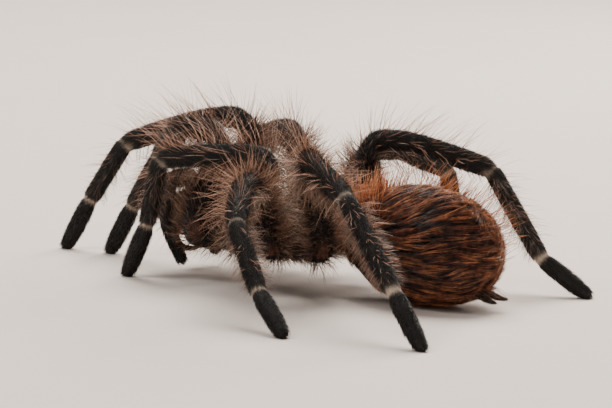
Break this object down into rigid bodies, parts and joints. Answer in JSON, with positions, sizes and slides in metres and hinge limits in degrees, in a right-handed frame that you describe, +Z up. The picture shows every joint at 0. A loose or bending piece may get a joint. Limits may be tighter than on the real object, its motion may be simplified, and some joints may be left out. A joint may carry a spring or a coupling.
{
  "type": "tarantula model",
  "caption": "Life-size still model of a hairy black tarantula with a rust-red abdomen, standing on arched legs with its belly on the floor.",
  "frame": {"origin": "on the floor, under the middle of the box round the whole spider", "axes": "+Z up from the floor, -Y the way the head points, +X the spider's left"},
  "size_m": [0.1053, 0.1082, 0.0328],
  "materials": {
    "legs": "black velvety hair with pale brown bristles",
    "carapace": "dark brown short hair",
    "abdomen": "wet rust-red long hair over a near-black skin",
    "underside": "dull dark brown hair",
    "fangs": "polished black horn",
    "eyes": "glossy black domes on a dark mound"
  },
  "bodies": {
    "root": {"abdomen": "abdomen", "carapace": "carapace", "chelicera_L": "carapace", "chelicera_R": "carapace", "eye_turret": "eyes", "fang_L": "fangs", "fang_R": "fangs", "leg1_L_coxa": "legs", "leg1_L_femur": "legs", "leg1_L_metatarsus": "legs", "leg1_L_shank": "legs", "leg1_L_tarsus": "legs", "leg1_R_coxa": "legs", "leg1_R_femur": "legs", "leg1_R_metatarsus": "legs", "leg1_R_shank": "legs", "leg1_R_tarsus": "legs", "leg2_L_coxa": "legs", "leg2_L_femur": "legs", "leg2_L_metatarsus": "legs", "leg2_L_shank": "legs", "leg2_L_tarsus": "legs", "leg2_R_coxa": "legs", "leg2_R_femur": "legs", "leg2_R_metatarsus": "legs", "leg2_R_shank": "legs", "leg2_R_tarsus": "legs", "leg3_L_coxa": "legs", "leg3_L_femur": "legs", "leg3_L_metatarsus": "legs", "leg3_L_shank": "legs", "leg3_L_tarsus": "legs", "leg3_R_coxa": "legs", "leg3_R_femur": "legs", "leg3_R_metatarsus": "legs", "leg3_R_shank": "legs", "leg3_R_tarsus": "legs", "leg4_L_coxa": "legs", "leg4_L_femur": "legs", "leg4_L_metatarsus": "legs", "leg4_L_shank": "legs", "leg4_L_tarsus": "legs", "leg4_R_coxa": "legs", "leg4_R_femur": "legs", "leg4_R_metatarsus": "legs", "leg4_R_shank": "legs", "leg4_R_tarsus": "legs", "palp_L_coxa": "legs", "palp_L_femur": "legs", "palp_L_shank": "legs", "palp_L_tarsus": "legs", "palp_R_coxa": "legs", "palp_R_femur": "legs", "palp_R_shank": "legs", "palp_R_tarsus": "legs", "pedicel": "underside", "spinneret_L": "abdomen", "spinneret_R": "abdomen", "sternum": "underside"}
  },
  "joints": []
}
